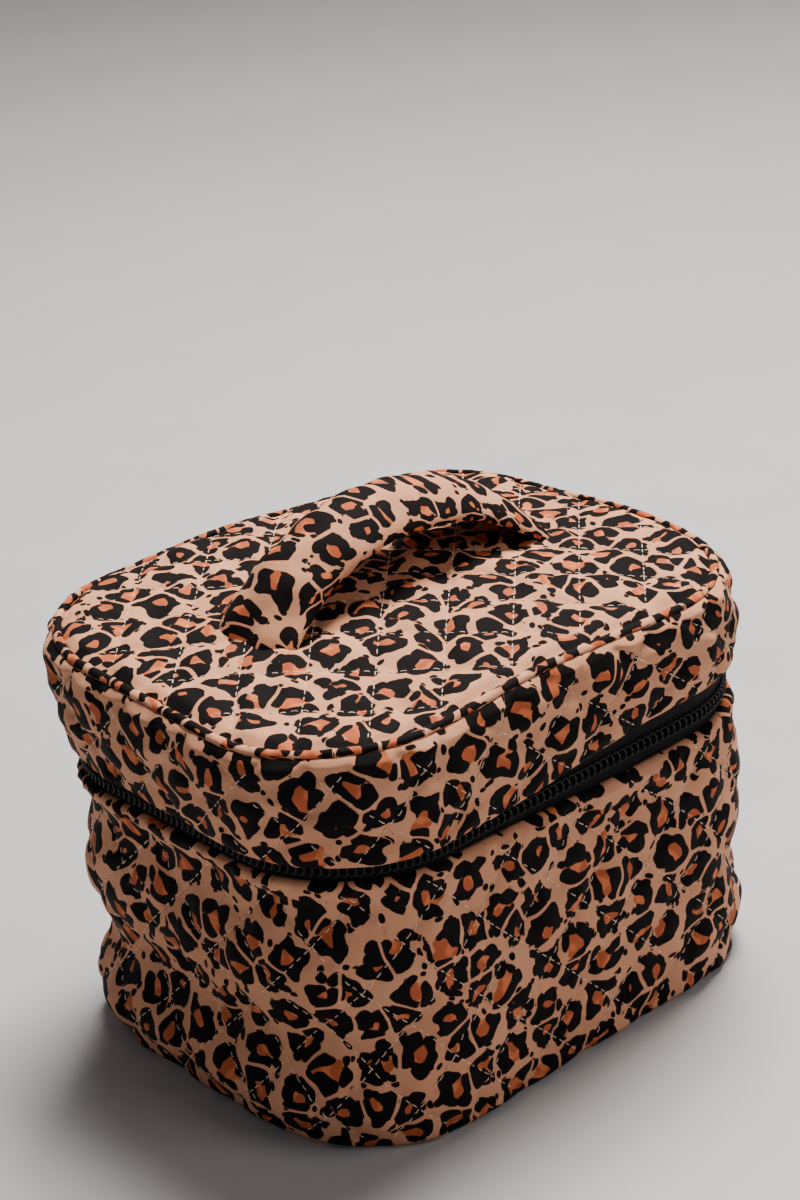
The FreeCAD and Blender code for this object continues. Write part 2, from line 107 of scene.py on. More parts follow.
def outline(s, inset):
    """Points on the case outline, moved inwards. s is the distance from the back's middle, anticlockwise."""
    s = np.mod(s, PERIMETER)
    lengths = [STRAIGHT_X, QUARTER, 2 * STRAIGHT_Y, QUARTER, 2 * STRAIGHT_X, QUARTER,
               2 * STRAIGHT_Y, QUARTER, STRAIGHT_X]
    starts = [(0, HALF_Y), None, (-HALF_X, STRAIGHT_Y), None, (-STRAIGHT_X, -HALF_Y), None,
              (HALF_X, -STRAIGHT_Y), None, (STRAIGHT_X, HALF_Y)]
    centres = [None, (-STRAIGHT_X, STRAIGHT_Y), None, (-STRAIGHT_X, -STRAIGHT_Y), None,
               (STRAIGHT_X, -STRAIGHT_Y), None, (STRAIGHT_X, STRAIGHT_Y), None]
    x = np.zeros_like(s)
    y = np.zeros_like(s)
    angle = np.zeros_like(s)
    begin = 0.0
    facing = math.pi / 2
    for length, start, centre in zip(lengths, starts, centres):
        here = (s >= begin - NOTHING) & (s <= begin + length + NOTHING)
        along = s - begin
        if start:
            x = np.where(here, start[0] - math.sin(facing) * along, x)
            y = np.where(here, start[1] + math.cos(facing) * along, y)
            angle = np.where(here, facing, angle)
        else:
            turn = facing + along / CORNER
            x = np.where(here, centre[0] + CORNER * np.cos(turn), x)
            y = np.where(here, centre[1] + CORNER * np.sin(turn), y)
            angle = np.where(here, turn, angle)
            facing += math.pi / 2
        begin += length
    return x - inset * np.cos(angle), y - inset * np.sin(angle)


def smooth(value):
    value = np.clip(value, 0, 1)
    return value * value * (3 - 2 * value)


def bump(value, centre, width):
    return np.exp(-((value - centre) / width) ** 2)


def ripple(a, b, size, seed, waves=7):
    """A smooth, repeatable unevenness between about -1 and 1, with features of one size."""
    random = np.random.default_rng(seed)
    total = np.zeros(np.broadcast(a, b).shape)
    for _ in range(waves):
        heading = random.uniform(0, math.pi)
        rate = 2 * math.pi / size * random.uniform(0.6, 1.5)
        phase = random.uniform(0, 2 * math.pi)
        total += np.sin(rate * (a * math.cos(heading) + b * math.sin(heading)) + phase)
    return total / math.sqrt(waves) / 1.4


def pillow(a, b):
    """Height of the diamond quilting, 0 in the sewn channels and 1 in the middle of a diamond."""
    height = 1.0
    for way in (1, -1):
        place = np.mod((a + way * b) / DIAGONAL, 1.0)
        middle = 1 - np.abs(2 * place - 1)
        height = height * (1 - (1 - middle) ** 3.0)
    return height


def lean_in(x, z):
    """The left end leans inwards below the lid's top seam, body and lid together."""
    left = smooth((-x / HALF_X - 0.25) / 0.75)
    return x + LEAN * left * smooth((LID_TOP - z) / 0.052)


def warp_body(x, y, z):
    """The body's soft shape: a waist under the zipper, end walls that fold in above a bulging base."""
    level = np.clip(z / BODY_TOP, 0, 1.02)
    ends = smooth((np.abs(x) / HALF_X - 0.35) / 0.65)
    left = smooth((-x / HALF_X - 0.35) / 0.65)
    free = smooth((1.0 - level) / 0.10)
    base_in = -BASE_IN * smooth((0.62 - level) / 0.62)
    crease = -CREASE_IN * (bump(level, 0.40, 0.11) + 0.53 * left * bump(level, 0.42, 0.16))
    bulge = BASE_OUT * (1 + 0.73 * left) * bump(level, 0.17, 0.12)
    waist = -WAIST_IN * (1 + 2.8 * left) * bump(level, 0.90, 0.16)
    grow = free * (base_in + ends * (crease + bulge) + waist)
    wave = 0.007 * ripple(np.arctan2(y, x) * 0.1, z, 0.085, 11) * free
    scale = 1 + grow + wave
    front = smooth((-y / HALF_Y - 0.5) / 0.5)
    near_mouth = smooth((level - 0.80) / 0.18) * (z < BODY_TOP + 0.0005)
    droop = MOUTH_DROOP * bump(x, 0.040, 0.065) * front * near_mouth
    pressed = PULL_DENT * smooth((x / HALF_X - 0.85) / 0.10) * bump(y, 0, 0.060) * bump(level, 0.90, 0.20)
    return lean_in(x * scale, z) - pressed, y * scale, z - droop


def lid_sag(x, y, up):
    """How far the lid sinks: its soft front left corner rests on the zipper, the front's right gapes."""
    corner = smooth((-x / HALF_X - y / HALF_Y + 0.25) / 1.9)
    front = smooth((-y / HALF_Y - 0.2) / 0.8)
    gape = GAPE * bump(x, 0.050, 0.068) * front * (1 - up)
    tilt = TOP_TILT * smooth((x / HALF_X + 0.2) / 1.2) * up
    return CORNER_SAG * corner - gape + tilt


def warp_lid(x, y, z):
    """The lid's soft shape: a crowned top, a sagging front left corner and slightly uneven sides."""
    above = smooth((z - ZIP_LINE - 0.0015) / 0.007)
    up = np.clip((z - LID_BOTTOM) / (LID_TOP - LID_BOTTOM), 0, 1)
    crown = CROWN * (1 - (x / HALF_X) ** 2) * (1 - (y / HALF_Y) ** 2) * smooth((z - 0.150) / 0.020)
    wave = 0.0016 * ripple(x, y, 0.11, 23) * above
    side = 1 + BAND_OUT * bump(up, 0.45, 0.35) * above - 0.020 * smooth((up - 0.55) / 0.6)
    height = z - lid_sag(x, y, up) * above * (1 + 0.3 * up) + crown + wave * up
    return lean_in(x * side, z), y * side, height


# -------- mesh helpers

def put(name, data):
    """A new object in the scene."""
    item = bpy.data.objects.new(name, data)
    bpy.context.scene.collection.objects.link(item)
    return item


def put_mesh(name, work):
    mesh = bpy.data.meshes.new(name)
    work.to_mesh(mesh)
    work.free()
    return put(name, mesh)


def cut_cube(size, cuts):
    work = bmesh.new()
    bmesh.ops.create_cube(work, size=size)
    bmesh.ops.subdivide_edges(work, edges=work.edges, cuts=cuts, use_grid_fill=True)
    return work


def bend_mesh(mesh, warp):
    """Moves the points of a straight mesh into the soft shape."""
    xyz = np.array([v.co[:] for v in mesh.vertices])
    mesh.vertices.foreach_set("co", np.stack(warp(*xyz.T), axis=-1).ravel())


def make_object(name, points, faces, corner_uv=None):
    """A mesh object from points, faces and one print coordinate per face corner, in metres of cloth."""
    mesh = bpy.data.meshes.new(name)
    mesh.from_pydata(np.asarray(points).reshape(-1, 3).tolist(), [], faces)
    if corner_uv is not None:
        layer = mesh.uv_layers.new(name="print")
        layer.data.foreach_set("uv", np.asarray(corner_uv, np.float32).ravel())
    mesh.polygons.foreach_set("use_smooth", [True] * len(mesh.polygons))
    return put(name, mesh)


def weld(piece):
    work = bmesh.new()
    work.from_mesh(piece.data)
    bmesh.ops.remove_doubles(work, verts=work.verts, dist=0.00003)
    work.to_mesh(piece.data)
    work.free()
    return piece


def close_ends(piece):
    """Caps the open ends of a strip, so that it is a thin closed solid."""
    work = bmesh.new()
    work.from_mesh(piece.data)
    bmesh.ops.holes_fill(work, edges=[edge for edge in work.edges if edge.is_boundary], sides=0)
    work.to_mesh(piece.data)
    work.free()
    return piece


def grid_faces(rows, columns, close_rows, close_columns):
    """Quads of a grid of points, rows by columns: the row, the column and the point of each corner."""
    row_count = rows if close_rows else rows - 1
    column_count = columns if close_columns else columns - 1
    row, column = np.meshgrid(np.arange(row_count), np.arange(column_count), indexing="ij")
    row = row.ravel()
    column = column.ravel()
    corner_rows = np.stack([row, row, row + 1, row + 1], axis=1)
    corner_columns = np.stack([column, column + 1, column + 1, column], axis=1)
    points = np.mod(corner_rows, rows) * columns + np.mod(corner_columns, columns)
    return corner_rows, corner_columns, points


def swept(name, s, rho, inset, z, warp, cloth=None, close_ring=True):
    """A profile carried round the case outline.

    Each array is profile rows by outline columns. rho draws a point towards the middle, inset moves it in
    from the outline. cloth gives the print coordinates; without it the ring distance and height are used.
    """
    rows, columns = np.broadcast(s, rho, inset, z).shape
    s, rho, inset, z = (np.broadcast_to(item, (rows, columns)) for item in (s, rho, inset, z))
    x, y = outline(s, inset)
    x, y, height = warp(x * rho, y * rho, z)
    points = np.stack([x, y, height], axis=-1)
    corner_rows, corner_columns, faces = grid_faces(rows, columns, True, close_ring)
    across, up = (s, z) if cloth is None else cloth
    lap = PERIMETER if cloth is None else 0.0
    across = np.concatenate([across, across[:, :1] + lap], axis=1)
    up = np.concatenate([up, up[:, :1]], axis=1)
    across = np.concatenate([across, across[:1]], axis=0)
    up = np.concatenate([up, up[:1]], axis=0)
    uv = np.stack([across[corner_rows, corner_columns], up[corner_rows, corner_columns]], axis=-1)
    return make_object(name, points, faces.tolist(), uv)


def ring_columns(step):
    count = int(round(PERIMETER / step))
    return np.arange(count)[None, :] * (PERIMETER / count)


def column(values):
    return np.asarray(values, float)[:, None]


def there_and_back(low, high, rows):
    return np.concatenate([np.linspace(low, high, rows), np.linspace(high, low, rows)])


def two_faces(inset, thickness, rows):
    """Insets of a layer's outer face and then of its inner face."""
    return np.concatenate([np.full(rows, inset), np.full(rows, inset + thickness)])


def tubes(name, paths, upward, radius, sides=5):
    """Round tubes along paths (tubes, points, 3); upward is a direction across each path."""
    paths = np.asarray(paths, float)
    count, steps, _ = paths.shape
    tangent = np.gradient(paths, axis=1)
    tangent /= np.linalg.norm(tangent, axis=-1, keepdims=True) + NOTHING
    side = np.cross(tangent, np.broadcast_to(upward, paths.shape))
    side /= np.linalg.norm(side, axis=-1, keepdims=True) + NOTHING
    up = np.cross(side, tangent)
    radius = np.broadcast_to(np.asarray(radius, float), (count, steps))[..., None]
    rings = []
    for corner in range(sides):
        turn = 2 * math.pi * corner / sides
        rings.append(paths + radius * (math.cos(turn) * up + math.sin(turn) * side))
    points = np.stack(rings, axis=2)
    tube, step, corner = np.meshgrid(np.arange(count), np.arange(steps - 1), np.arange(sides), indexing="ij")

    def index(t, n, c):
        return ((t * steps + n) * sides + np.mod(c, sides)).ravel()

    quads = np.stack([index(tube, step, corner), index(tube, step, corner + 1),
                      index(tube, step + 1, corner + 1), index(tube, step + 1, corner)], axis=1).tolist()
    for one in range(count):
        first = one * steps * sides
        last = first + (steps - 1) * sides
        quads.append(list(range(first + sides - 1, first - 1, -1)))
        quads.append(list(range(last, last + sides)))
    return make_object(name, points, quads)


def join(name, pieces):
    """One object from several, which must share a material order."""
    work = bmesh.new()
    for piece in pieces:
        work.from_mesh(piece.data)
        bpy.data.objects.remove(piece)
    return put_mesh(name, work)


# -------- materials

def node(tree, kind, inputs=None, **settings):
    """A shader node; an input is a plain value, or a socket to link from."""
    item = tree.nodes.new(kind)
    for key, value in settings.items():
        setattr(item, key, value)
    for key, value in (inputs or {}).items():
        if isinstance(value, bpy.types.NodeSocket):
            tree.links.new(value, item.inputs[key])
        else:
            item.inputs[key].default_value = value
    return item


def calc(tree, operation, a, b=0.0):
    return node(tree, "ShaderNodeMath", {0: a, 1: b}, operation=operation).outputs[0]


def plus(tree, a, b):
    return calc(tree, "ADD", a, b)


def minus(tree, a, b):
    return calc(tree, "SUBTRACT", a, b)


def times(tree, a, b):
    return calc(tree, "MULTIPLY", a, b)


def step_up(tree, value, low, high):
    """0 below low, 1 above high, smooth between."""
    settings = {"Value": value, "From Min": low, "From Max": high}
    return node(tree, "ShaderNodeMapRange", settings, interpolation_type="SMOOTHSTEP").outputs["Result"]


def mix(tree, share, a, b):
    return node(tree, "ShaderNodeMix", {0: share, 6: a, 7: b}, data_type="RGBA").outputs[2]


def noise(tree, place, scale=1.0, detail=2.0, dimensions="3D", output="Fac"):
    settings = {"Vector": place, "Scale": scale, "Detail": detail}
    return node(tree, "ShaderNodeTexNoise", settings, noise_dimensions=dimensions).outputs[output]


def cells(tree, place, scale, randomness, feature="F1"):
    settings = {"Vector": place, "Scale": scale, "Randomness": randomness}
    item = node(tree, "ShaderNodeTexVoronoi", settings, voronoi_dimensions="2D", feature=feature)
    return item.outputs["Distance"]


def add_vector(tree, a, b, operation="ADD"):
    return node(tree, "ShaderNodeVectorMath", {0: a, 1: b}, operation=operation).outputs[0]


def scale_vector(tree, vector, scale):
    return node(tree, "ShaderNodeVectorMath", {0: vector, "Scale": scale}, operation="SCALE").outputs[0]


def smooth_min(tree, a, b, blend):
    return node(tree, "ShaderNodeMath", {0: a, 1: b, 2: blend}, operation="SMOOTH_MIN").outputs[0]


def paint(tree, shader, share, colour, paler):
    tree.links.new(mix(tree, share, colour, paler), shader.inputs["Base Color"])


def new_material(name, **shader_values):
    material = bpy.data.materials.new(name)
    material.use_nodes = True
    tree = material.node_tree
    shader = tree.nodes["Principled BSDF"]
    for key, value in shader_values.items():
        shader.inputs[key.replace("_", " ")].default_value = value
    return material, tree, shader


def cloth_place(tree, scale):
    """Print coordinates of the cloth, multiplied."""
    return scale_vector(tree, node(tree, "ShaderNodeUVMap", uv_map="print").outputs["UV"], scale)


def space_place(tree, scale):
    return scale_vector(tree, node(tree, "ShaderNodeTexCoord").outputs["Object"], scale)


def wave(tree, value, pitch):
    """A sine of a length, with one cycle per pitch."""
    return calc(tree, "SINE", times(tree, value, 2 * math.pi / pitch))


def axes(tree, place):
    return node(tree, "ShaderNodeSeparateXYZ", {0: place}).outputs


def weave(tree, place, pitch):
    """Over and under threads as a height."""
    x, y, _ = axes(tree, place)
    return times(tree, wave(tree, x, pitch), wave(tree, y, pitch))


def set_bump(tree, shader, height, strength, distance):
    item = node(tree, "ShaderNodeBump", {"Height": height, "Strength": strength, "Distance": distance})
    tree.links.new(item.outputs[0], shader.inputs["Normal"])


ROSETTE = 0.0168         # spacing of the printed rosettes
CELL_RANDOM = 0.66
PRINT_THREAD = 0.00045   # thread pitch of the print cloth
TAN = (0.60, 0.280, 0.160, 1)
TAN_PALE = (0.66, 0.320, 0.188, 1)
RUST = (0.63, 0.172, 0.068, 1)
RUST_DEEP = (0.42, 0.100, 0.040, 1)
SPOT = (0.0055, 0.0040, 0.0042, 1)


def print_material(name, shift):
    """Smooth microfibre printed with broken dark rosettes round rust centres, and small spots between.

    The rosettes fill the cells of a loose grid, so the ground shows as an even net between them.
    """
    material, tree, shader = new_material(
        name, Roughness=0.72, Sheen_Weight=0.02, Sheen_Roughness=0.4, Specular_IOR_Level=0.06)
    place = add_vector(tree, cloth_place(tree, 1 / ROSETTE), shift)
    bend = add_vector(tree, noise(tree, place, 1.3, 0.0, "2D", "Color"), (0.5, 0.5, 0.5), "SUBTRACT")
    bent = add_vector(tree, place, scale_vector(tree, bend, 0.30))
    distance = cells(tree, bent, 1.0, CELL_RANDOM)
    border = cells(tree, bent, 1.0, CELL_RANDOM, "DISTANCE_TO_EDGE")
    lump = cells(tree, bent, 2.25, 0.80)
    wobble = minus(tree, noise(tree, place, 3.0, 0.0, "2D"), 0.5)
    slow = minus(tree, noise(tree, place, 1.7, 0.0, "2D"), 0.5)

    # depth grows from the rosette's edge to its middle
    round_off = minus(tree, 0.46, distance)
    depth = plus(tree, times(tree, border, 0.45), times(tree, round_off, 0.55))
    depth = plus(tree, depth, times(tree, wobble, 0.22))

    # the ring is thick where a lump of the finer cells lies, and breaks between lumps
    lobes = minus(tree, 0.33, lump)
    thickness = plus(tree, times(tree, lobes, 0.088), 0.0300)
    thickness = plus(tree, thickness, times(tree, slow, 0.020))
    from_ring = minus(tree, depth, 0.185)
    ring = minus(tree, thickness, times(tree, from_ring, from_ring))
    apart = times(tree, minus(tree, border, 0.048), 0.20)
    ring = smooth_min(tree, ring, apart, 0.012)
    dark = step_up(tree, ring, -0.0022, -0.0002)
    centre = step_up(tree, plus(tree, depth, times(tree, slow, 0.16)), 0.180, 0.208)

    # small spots in the corners between rosettes
    beside = times(tree, plus(tree, depth, 0.030), -1.2)
    small = smooth_min(tree, minus(tree, 0.215, lump), beside, 0.05)
    dark = calc(tree, "MAXIMUM", dark, step_up(tree, small, 0.010, 0.022))

    patch = noise(tree, place, 0.5, 2.0, "2D")
    ground = mix(tree, step_up(tree, patch, 0.35, 0.65), TAN, TAN_PALE)
    rust = mix(tree, step_up(tree, wobble, -0.12, 0.12), RUST, RUST_DEEP)
    halo = times(tree, step_up(tree, ring, -0.0085, -0.0010), 0.30)
    colour = mix(tree, halo, mix(tree, centre, ground, rust), RUST_DEEP)
    paint(tree, shader, dark, colour, SPOT)
    threads = weave(tree, cloth_place(tree, 1.0), PRINT_THREAD)
    crumple = noise(tree, place, 4.5, 3.0, "2D")
    height = plus(tree, times(tree, threads, 0.10), crumple)
    set_bump(tree, shader, height, 0.35, 0.0006)
    return material


def woven_material(name, colour, paler, pitch, roughness=0.75, sheen=0.25, bump_depth=0.0003):
    """A plain woven cloth of one colour, with its threads and a little unevenness."""
    material, tree, shader = new_material(
        name, Roughness=roughness, Sheen_Weight=sheen, Specular_IOR_Level=0.3)
    x, y, z = axes(tree, space_place(tree, 1.0))
    across = wave(tree, plus(tree, x, y), pitch)
    upwards = wave(tree, minus(tree, x, z), pitch)
    threads = times(tree, across, upwards)
    patch = noise(tree, space_place(tree, 300.0), detail=3.0)
    share = plus(tree, times(tree, threads, 0.25), patch)
    paint(tree, shader, step_up(tree, share, 0.2, 0.9), colour, paler)
    set_bump(tree, shader, threads, 0.5, bump_depth)
    return material


def twill_material(name, colour, paler):
    """Zipper tape: fine slanting ribs."""
    material, tree, shader = new_material(name, Roughness=0.8, Sheen_Weight=0.05, Specular_IOR_Level=0.1)
    x, y, _ = axes(tree, cloth_place(tree, 1.0))
    ribs = wave(tree, plus(tree, x, y), 0.0009)
    rows = wave(tree, y, 0.0006)
    height = plus(tree, ribs, times(tree, rows, 0.4))
    paint(tree, shader, step_up(tree, height, -1.0, 1.2), colour, paler)
    set_bump(tree, shader, height, 0.6, 0.0002)
    return material


def thread_material(name, colour, paler):
    """Twisted sewing thread."""
    material, tree, shader = new_material(name, Roughness=0.5, Sheen_Weight=0.3)
    x, _, z = axes(tree, space_place(tree, 1.0))
    slant = plus(tree, x, times(tree, z, 2.0))
    twist = wave(tree, slant, 0.007)
    paint(tree, shader, step_up(tree, twist, -1.0, 1.0), colour, paler)
    set_bump(tree, shader, twist, 0.5, 0.0002)
    return material


def moulded_material(name, colour, paler):
    """Moulded nylon or board with a satin gloss."""
    material, tree, shader = new_material(name, Roughness=0.42, Specular_IOR_Level=0.22)
    grain = noise(tree, space_place(tree, 3500.0))
    paint(tree, shader, grain, colour, paler)
    set_bump(tree, shader, grain, 0.25, 0.0001)
    return material


def metal_material(name, lacquer, worn):
    """Lacquer over cast metal, worn bright in small places."""
    material, tree, shader = new_material(name, Metallic=0.85)
    wear = noise(tree, space_place(tree, 1300.0), detail=4.0)
    paint(tree, shader, step_up(tree, wear, 0.60, 0.72), lacquer, worn)
    tree.links.new(step_up(tree, wear, -0.9, 1.9), shader.inputs["Roughness"])
    set_bump(tree, shader, wear, 0.15, 0.0001)
    return material


def mesh_material(name, colour, paler):
    """Open knitted mesh: dark threads round small round holes."""
    material, tree, shader = new_material(name, Roughness=0.6, Sheen_Weight=0.2)
    holes = cells(tree, cloth_place(tree, 1 / MESH_PITCH), 1.0, 0.0)
    thread = step_up(tree, holes, 0.33, 0.38)
    tree.links.new(thread, shader.inputs["Alpha"])
    paint(tree, shader, holes, colour, paler)
    set_bump(tree, shader, thread, 0.4, 0.0002)
    return material


MESH_PITCH = 0.0024      # spacing of the pocket mesh's holes


def grey(value):
    return (value, value, value * 1.04, 1)


MATERIALS = {
    "print_fabric": print_material("rosette_print", (0.0, 0.0, 0.0)),
    "strap_fabric": print_material("rosette_print_strap", (31.4, 12.7, 0.0)),
    "piping_fabric": print_material("rosette_print_piping", (9.3, 41.2, 0.0)),
    "hinge_fabric": print_material("rosette_print_hinge", (5.1, 7.7, 0.0)),
    "lid_print": print_material("rosette_print_lid", (17.9, 3.3, 0.0)),
    "thread": thread_material("peach_thread", (0.66, 0.45, 0.31, 1), (0.82, 0.62, 0.45, 1)),
    "zipper_tape": twill_material("zipper_twill", grey(0.003), grey(0.008)),
    "zipper_coil": moulded_material("zipper_nylon", grey(0.003), grey(0.006)),
    "slider_metal": metal_material("black_lacquer", grey(0.022), grey(0.15)),
    "lining_fabric": woven_material("lining_cloth", grey(0.016), grey(0.036), 0.0008, roughness=0.6),
    "binding": woven_material("binding_tape", grey(0.008), grey(0.020), 0.0012),
    "divider_fabric": woven_material("divider_cloth", grey(0.018), grey(0.042), 0.0010, 0.9, sheen=0.4),
    "hook_tape": woven_material("hook_tape", grey(0.008), grey(0.026), 0.0016),
    "webbing": woven_material("webbing", grey(0.05), grey(0.11), 0.0020),
    "foam": woven_material("foam_sheet", (0.55, 0.55, 0.50, 1), (0.68, 0.68, 0.63, 1), 0.0014),
    "board": moulded_material("stiff_board", grey(0.05), grey(0.08)),
    "mesh": mesh_material("pocket_mesh", grey(0.02), grey(0.06)),
}


def finish_piece(piece, body, material, replaces=()):
    piece.data.materials.clear()
    piece.data.materials.append(MATERIALS[material])
    if body:
        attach(piece, body)
    if replaces:
        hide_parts(*replaces)
    return piece


# -------- quilted shells

BAND_SEAM = LID_TOP - 0.0022   # where the band is sewn to the piping
WALL_PUFF = 0.0021
TOP_PUFF = 0.0020
FINE = 0.0011            # mesh step of the outer faces
COARSE = 0.004           # and of hidden layers
LAYER_ROWS = 24


def wall_height(s, z):
    """How far the body's quilting stands out, with puckers along the sewn edges."""
    edge = smooth((BODY_TOP - z) / 0.010)
    quilt = WALL_PUFF * pillow(s, z) * (0.35 + 0.65 * edge)
    seams = 0.0005 * (1 - pillow(s, z)) * ripple(s, z, 0.0065, 6)
    pucker = 0.0010 * (1 - smooth((BODY_TOP - z) / 0.012)) * ripple(s, z * 0.3, 0.011, 5)
    crumple = 0.0006 * ripple(s, z, 0.016, 3)
    return quilt + pucker + crumple + seams


def band_height(s, z):
    edge = smooth((z - LID_BOTTOM) / 0.007) * smooth((BAND_SEAM - z) / 0.005 + 0.2)
    quilt = WALL_PUFF * pillow(s, z - LID_BOTTOM) * (0.3 + 0.7 * edge)
    seams = 0.0004 * (1 - pillow(s, z - LID_BOTTOM)) * ripple(s, z, 0.007, 8)
    crumple = 0.0007 * ripple(s, z, 0.018, 7)
    return quilt + crumple + seams


def top_height(x, y):
    rim = smooth(inside_by(x, y) / 0.012)
    return TOP_PUFF * pillow(x, y) * (0.25 + 0.75 * rim) + 0.0006 * ripple(x, y, 0.020, 9) * rim


def inside_by(x, y):
    """How far a point lies inside the case outline; negative outside."""
    dx = np.abs(x) - STRAIGHT_X
    dy = np.abs(y) - STRAIGHT_Y
    far = np.hypot(np.maximum(dx, 0), np.maximum(dy, 0)) + np.minimum(np.maximum(dx, dy), 0)
    return CORNER - far


def quilted_ring(name, low, high, height, warp, body, material, replaces, turn_in):
    """A quilted wall: a finely modelled outer face, rolled edges and a plain inner face."""
    s = ring_columns(FINE)
    face = np.linspace(low + turn_in, high - turn_in, int((high - low) / FINE))
    lower_roll = [(turn_in * (1 - math.sin(a)), low + turn_in * (1 - math.cos(a)))
                  for a in np.linspace(0.15, 1.3, 4)]
    upper_roll = [(turn_in * (1 - math.sin(a)), high - turn_in * (1 - math.cos(a)))
                  for a in np.linspace(1.3, 0.15, 4)]
    inner = np.linspace(high, low, 12)
    z = np.concatenate([[p[1] for p in lower_roll], face, [p[1] for p in upper_roll], inner])
    inset = np.concatenate([[p[0] for p in lower_roll], np.zeros(len(face)), [p[0] for p in upper_roll],
                            np.full(len(inner), SHELL)])
    outer = np.concatenate([np.full(4, 0.4), np.ones(len(face)), np.full(4, 0.4), np.zeros(len(inner))])
    z = column(z)
    inset = column(inset) - column(outer) * height(s, z)
    piece = swept(name, s, column(np.ones(z.shape[0])), inset, z + 0 * s, warp)
    finish_piece(piece, body, material, replaces)


def plate(name, inset, low, high, warp, top=None, step=COARSE):
    """A closed plate with the case outline; top gives the height of its upper face's quilting."""
    s = ring_columns(step)
    reach = min(HALF_X, HALF_Y) - inset
    rings = max(int(reach / step), 6)
    shares = np.linspace(1, 0, rings)
    shares[-1] = SHRINK
    rho = np.concatenate([shares, shares[::-1]])
    z = np.concatenate([np.full(rings, high), np.full(rings, low)])
    upper = np.concatenate([np.ones(rings), np.zeros(rings)])
    s, rho, z, upper = np.broadcast_arrays(s, column(rho), column(z), column(upper))
    x, y = outline(s, inset)
    x = x * rho
    y = y * rho
    if top is not None:
        z = z + upper * top(x, y)
    return weld(swept(name, s, rho, inset, z, warp, cloth=(x, y)))


def layer(name, inset, thickness, low, high, warp, step=COARSE):
    """A plain upright layer that follows the walls' soft shape."""
    s = ring_columns(step)
    z = column(there_and_back(low, high, LAYER_ROWS)) + 0 * s
    insets = column(two_faces(inset, thickness, LAYER_ROWS))
    return swept(name, s, np.ones_like(insets), insets, z, warp)


quilted_ring("quilted_wall", 0.0, BODY_TOP, wall_height, warp_body, "base", "print_fabric",
             ["base_quilted_wall"], 0.0030)
quilted_ring("lid_band", LID_BOTTOM, BAND_SEAM, band_height, warp_lid, "lid", "lid_print",
             ["lid_side_band"], 0.0028)


def panel_edge(x, y):
    """The top panel's height at a point: quilting, rolled down at the rim where it meets the piping."""
    rim = inside_by(x, y) - PANEL_INSET
    return top_height(x, y) - 0.0024 * (1 - smooth(rim / 0.005))


PANEL_INSET = 0.0042
top = plate("lid_top", PANEL_INSET, LID_TOP - 0.006, LID_TOP, warp_lid, panel_edge, step=0.0013)
finish_piece(top, "lid", "lid_print", ["lid_top_panel"])

bottom = plate("bottom_panel", SHELL - 0.0005, 0.0, SHELL, warp_body)
finish_piece(bottom, "base", "print_fabric", ["base_bottom_panel"])


def piping():
    """Covered piping round the lid's top seam, a little uneven where the cover is gathered."""
    s = ring_columns(0.0013)
    turn = column(np.linspace(0, 2 * math.pi, 14, endpoint=False))
    radius = 0.0019 + 0.00018 * ripple(s, turn * 0.004, 0.007, 31)
    centre_inset = 0.0033
    centre_height = LID_TOP - 0.0017
    inset = centre_inset - radius * np.cos(turn)
    z = centre_height + radius * np.sin(turn)
    piece = swept("top_piping", s, np.ones_like(inset), inset, z, warp_lid,
                  cloth=(s + 0 * turn, turn * 0.0019 + 0 * s))
    finish_piece(piece, "lid", "piping_fabric", ["lid_piping"])


piping()


# -------- hidden layers, linings and bindings

def hidden_layers():
    for name, node_name, body, warp, material in (
        ("wall_foam", "base_wall_foam", "base", warp_body, "foam"),
        ("band_foam", "lid_band_foam", "lid", warp_lid, "foam"),
    ):
        low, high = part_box(node_name)
        piece = layer(name, SHELL + 0.0002, FOAM - 0.0004, low[2], high[2], warp)
        finish_piece(piece, body, material, [node_name])
    for name, node_name, body, warp in (
        ("base_stiffener", "base_board", "base", warp_body),
        ("lid_stiffener", "lid_board", "lid", warp_lid),
    ):
        low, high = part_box(node_name)
        piece = plate(name, HALF_X - high[0] + 0.001, low[2], high[2], warp)
        finish_piece(piece, body, "board", [node_name])


hidden_layers()

LINED = SHELL + FOAM     # how far inside the outline the lining lies


def lining(name, node_name, body, warp, away):
    """A sewn cloth cup: wall and floor in one thin skin. away is the way from the mouth to the floor."""
    low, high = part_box(node_name)
    mouth, floor = (low[2], high[2])[::away]
    s = ring_columns(0.0032)
    rows = 30
    rings = 26
    wall = np.linspace(mouth, floor - away * LINING, rows)
    shares = np.linspace(1, 0, rings)
    shares[-1] = SHRINK
    inner_z = np.concatenate([wall, np.full(rings, floor - away * LINING)])
    inner_rho = np.concatenate([np.ones(rows), shares])
    outer_z = np.concatenate([np.full(rings, floor), wall[::-1] + away * LINING * 0.5])
    outer_rho = np.concatenate([shares[::-1], np.ones(rows)])
    z = column(np.concatenate([inner_z, outer_z]))
    rho = column(np.concatenate([inner_rho, outer_rho]))
    inset = column(two_faces(LINED + LINING, -LINING, rows + rings))
    slack = 0.0007 * ripple(s, z, 0.05, 41) * smooth(np.abs(z - mouth) / 0.02)
    on_wall = rho > 0.98
    sag = away * 0.6 * np.abs(slack) * ~on_wall
    piece = weld(swept(name, s, rho, inset + slack * on_wall, z - sag, warp))
    finish_piece(piece, body, "lining_fabric", [node_name])


lining("body_lining", "base_lining", "base", warp_body, -1)
lining("cap_lining", "lid_lining", "lid", warp_lid, 1)


